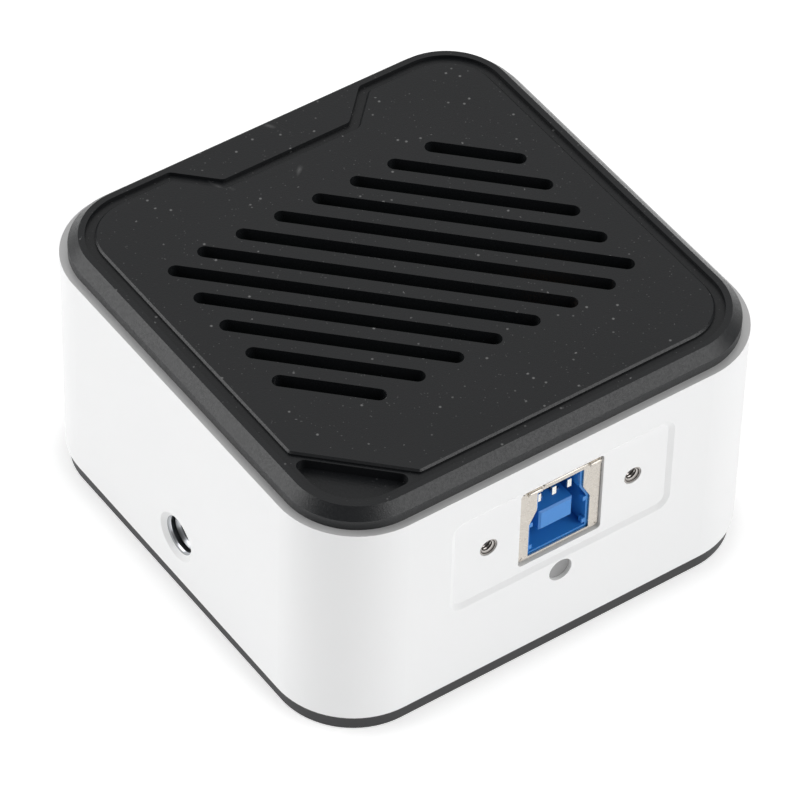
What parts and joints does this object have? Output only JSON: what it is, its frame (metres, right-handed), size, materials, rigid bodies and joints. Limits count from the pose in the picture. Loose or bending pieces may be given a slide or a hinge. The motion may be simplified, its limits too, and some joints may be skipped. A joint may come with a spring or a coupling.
{
  "type": "microscope camera",
  "caption": "Square microscope camera in a white housing, with a slotted black rear cover, a lens thread in its front plate, a data socket and a tripod thread.",
  "frame": {"origin": "on the lens axis, at the middle of the front plate's face, which the camera lies on", "axes": "+Z from the lens side to the slotted rear cover, -Y towards the data socket, -X towards the tripod thread"},
  "size_m": [0.068, 0.068, 0.038],
  "materials": {
    "housing_paint": "white satin powder coat, bare metal on the top rim",
    "cover_black": "black anodised, bead blasted",
    "plate_black": "black anodised, satin",
    "screw_steel": "zinc plated",
    "ring_metal": "dark anodised, turned",
    "filter_glass": "polished, coated",
    "sensor_ceramic": "matt ceramic",
    "sensor_glass": "polished",
    "board_green": "solder mask",
    "post_brass": "turned",
    "chip_black": "moulded",
    "connector_white": "moulded",
    "ribbon": "polyimide film",
    "shell_nickel": "nickel plated sheet",
    "insulator_blue": "moulded",
    "contact_gold": "gold plated",
    "bush_nickel": "nickel plated",
    "light_clear": "clear frosted",
    "led_body": "moulded",
    "bush_steel": "machined"
  },
  "bodies": {
    "root": {"housing": "housing_paint", "rear_cover": "cover_black", "front_plate": "plate_black", "case_screws": "screw_steel", "lens_ring": "ring_metal", "filter_glass": "filter_glass", "image_sensor": "sensor_ceramic", "sensor_window": "sensor_glass", "sensor_board": "board_green", "board_sleeves": "post_brass", "board_screws": "screw_steel", "board_connector": "connector_white", "main_board": "board_green", "processor_chip": "chip_black", "memory_chips": "chip_black", "ribbon_cable": "ribbon", "socket_board": "board_green", "socket_board_screw": "screw_steel", "socket_shell": "shell_nickel", "socket_insulator": "insulator_blue", "socket_contacts": "contact_gold", "lock_bush_left": "bush_nickel", "lock_bush_right": "bush_nickel", "light_pipe": "light_clear", "status_led": "led_body", "tripod_bush": "bush_steel"}
  },
  "joints": []
}
